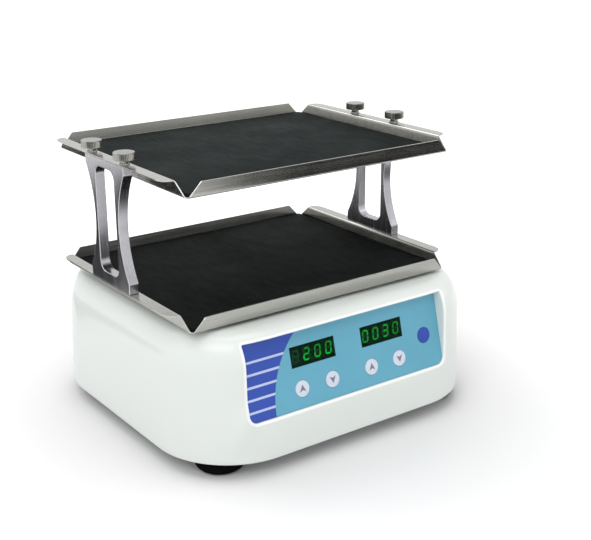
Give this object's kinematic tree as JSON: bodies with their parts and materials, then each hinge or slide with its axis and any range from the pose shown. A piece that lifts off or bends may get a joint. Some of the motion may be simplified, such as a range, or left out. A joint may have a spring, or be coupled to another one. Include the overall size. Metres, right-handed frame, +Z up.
{
  "type": "orbital shaker",
  "caption": "Stacked-tray orbital shaker: rounded moulded housing, inclined control panel, rubber-matted steel trays and slotted side brackets on a belt-driven crank.",
  "frame": {"origin": "middle of the housing on the plane of the feet", "axes": "+Z up, the control panel faces -Y, +X along the panel to the right as the user sees it"},
  "size_m": [0.3525, 0.324, 0.2876],
  "materials": {
    "housing_white": "semi-gloss moulded",
    "plated_steel": "zinc plated",
    "screw_steel": "plated",
    "foot_rubber": "moulded",
    "overlay_teal": "printed film",
    "overlay_blue": "printed film",
    "overlay_pale": "printed film",
    "window_smoke": "dark green filter",
    "display_black": "black face",
    "digit_green": "lit",
    "key_pale": "satin",
    "key_blue": "satin",
    "board_green": "solder resist",
    "part_black": "moulded",
    "pin_brass": "plated",
    "rocker_red": "moulded",
    "motor_grey": "powder coat",
    "shaft_steel": "ground",
    "turned_aluminium": "turned",
    "belt_rubber": "flat belt",
    "cast_aluminium": "cast",
    "weight_iron": "machined",
    "tray_steel": "brushed",
    "mat_rubber_lower": "matt",
    "mat_rubber_upper": "matt",
    "bracket_aluminium": "satin machined",
    "thumb_steel": "knurled"
  },
  "bodies": {
    "base": {"housing": "housing_white", "base_plate": "plated_steel", "base_screws": "screw_steel", "feet": "foot_rubber", "control_overlay": "overlay_teal", "panel_band": "overlay_blue", "panel_stripes": "overlay_pale", "display_windows": "window_smoke", "speed_display": "display_black", "time_display": "display_black", "display_digits": "digit_green", "control_board": "board_green", "key_switches": "part_black", "small_screws": "screw_steel", "power_inlet": "part_black", "inlet_pins": "pin_brass", "power_switch": "part_black", "supply_board": "board_green", "supply_parts": "part_black", "motor_body": "motor_grey", "motor_bridge": "plated_steel", "drive_screws": "screw_steel", "drive_belt": "belt_rubber", "spindle_housing": "cast_aluminium", "base_bearings": "shaft_steel", "idler_blocks": "cast_aluminium"},
    "motor_rotor": {"motor_shaft": "shaft_steel", "motor_pulley": "turned_aluminium"},
    "crank": {"crank_shaft": "shaft_steel", "driven_pulley": "turned_aluminium", "eccentric_pin": "shaft_steel", "counterweight": "weight_iron", "crank_screws": "screw_steel"},
    "platform": {"carrier_plate": "turned_aluminium", "carrier_bearings": "shaft_steel", "support_posts": "shaft_steel", "post_screws": "screw_steel", "tray_screws": "screw_steel", "lower_tray": "tray_steel", "lower_mat": "mat_rubber_lower", "left_bracket": "bracket_aluminium", "right_bracket": "bracket_aluminium", "bracket_screws": "screw_steel", "upper_tray": "tray_steel", "upper_mat": "mat_rubber_upper"},
    "idler_crank_1": {"idler_1": "shaft_steel"},
    "idler_crank_2": {"idler_2": "shaft_steel"},
    "idler_crank_3": {"idler_3": "shaft_steel"},
    "idler_crank_4": {"idler_4": "shaft_steel"},
    "thumb_screw_body_1": {"thumb_screw_1": "thumb_steel"},
    "thumb_screw_body_2": {"thumb_screw_2": "thumb_steel"},
    "thumb_screw_body_3": {"thumb_screw_3": "thumb_steel"},
    "thumb_screw_body_4": {"thumb_screw_4": "thumb_steel"},
    "speed_up_key_body": {"speed_up_key": "key_pale"},
    "speed_down_key_body": {"speed_down_key": "key_pale"},
    "time_up_key_body": {"time_up_key": "key_pale"},
    "time_down_key_body": {"time_down_key": "key_pale"},
    "start_key_body": {"start_key": "key_blue"},
    "rocker": {"switch_rocker": "rocker_red"}
  },
  "joints": [
    {"name": "crank_turn", "type": "hinge", "parent": "base", "child": "crank", "pos_m": [0, 0, 0.06], "axis": [0, 0, 1], "continuous": true},
    {"name": "platform_orbit", "type": "hinge", "parent": "crank", "child": "platform", "pos_m": [-0.01, 0, 0.1], "axis": [0, 0, 1], "continuous": true},
    {"name": "motor_turn", "type": "hinge", "parent": "base", "child": "motor_rotor", "pos_m": [0, 0.108, 0.06], "axis": [0, 0, 1], "continuous": true},
    {"name": "idler_turn_1", "type": "hinge", "parent": "base", "child": "idler_crank_1", "pos_m": [0.1, 0.07, 0.065], "axis": [0, 0, 1], "continuous": true},
    {"name": "idler_turn_2", "type": "hinge", "parent": "base", "child": "idler_crank_2", "pos_m": [-0.1, 0.07, 0.065], "axis": [0, 0, 1], "continuous": true},
    {"name": "idler_turn_3", "type": "hinge", "parent": "base", "child": "idler_crank_3", "pos_m": [-0.1, -0.07, 0.065], "axis": [0, 0, 1], "continuous": true},
    {"name": "idler_turn_4", "type": "hinge", "parent": "base", "child": "idler_crank_4", "pos_m": [0.1, -0.07, 0.065], "axis": [0, 0, 1], "continuous": true},
    {"name": "thumb_screw_turn_1", "type": "hinge", "parent": "platform", "child": "thumb_screw_body_1", "pos_m": [-0.1685, -0.0324, 0.276], "axis": [0, 0, 1], "continuous": true},
    {"name": "thumb_screw_turn_2", "type": "hinge", "parent": "platform", "child": "thumb_screw_body_2", "pos_m": [-0.1685, 0.0324, 0.276], "axis": [0, 0, 1], "continuous": true},
    {"name": "thumb_screw_turn_3", "type": "hinge", "parent": "platform", "child": "thumb_screw_body_3", "pos_m": [0.1485, -0.0324, 0.276], "axis": [0, 0, 1], "continuous": true},
    {"name": "thumb_screw_turn_4", "type": "hinge", "parent": "platform", "child": "thumb_screw_body_4", "pos_m": [0.1485, 0.0324, 0.276], "axis": [0, 0, 1], "continuous": true},
    {"name": "speed_up_key_press", "type": "slide", "parent": "base", "child": "speed_up_key_body", "axis": [0, -0.9703, 0.2419], "range_m": [-0.0006, 0], "stiffness_N_per_m": 400},
    {"name": "speed_down_key_press", "type": "slide", "parent": "base", "child": "speed_down_key_body", "axis": [0, -0.9703, 0.2419], "range_m": [-0.0006, 0], "stiffness_N_per_m": 400},
    {"name": "time_up_key_press", "type": "slide", "parent": "base", "child": "time_up_key_body", "axis": [0, -0.9703, 0.2419], "range_m": [-0.0006, 0], "stiffness_N_per_m": 400},
    {"name": "time_down_key_press", "type": "slide", "parent": "base", "child": "time_down_key_body", "axis": [0, -0.9703, 0.2419], "range_m": [-0.0006, 0], "stiffness_N_per_m": 400},
    {"name": "start_key_press", "type": "slide", "parent": "base", "child": "start_key_body", "axis": [0, -0.9703, 0.2419], "range_m": [-0.0006, 0], "stiffness_N_per_m": 400},
    {"name": "power_rocker", "type": "hinge", "parent": "base", "child": "rocker", "pos_m": [0.05, 0.1553, 0.048], "axis": [1, 0, 0], "range_deg": [0, 20]}
  ],
  "couplings": [
    {"joint": "platform_orbit", "follows": "crank_turn", "ratio": -1},
    {"joint": "motor_turn", "follows": "crank_turn", "ratio": 3},
    {"joint": "idler_turn_1", "follows": "crank_turn", "ratio": 1},
    {"joint": "idler_turn_2", "follows": "crank_turn", "ratio": 1},
    {"joint": "idler_turn_3", "follows": "crank_turn", "ratio": 1},
    {"joint": "idler_turn_4", "follows": "crank_turn", "ratio": 1}
  ]
}
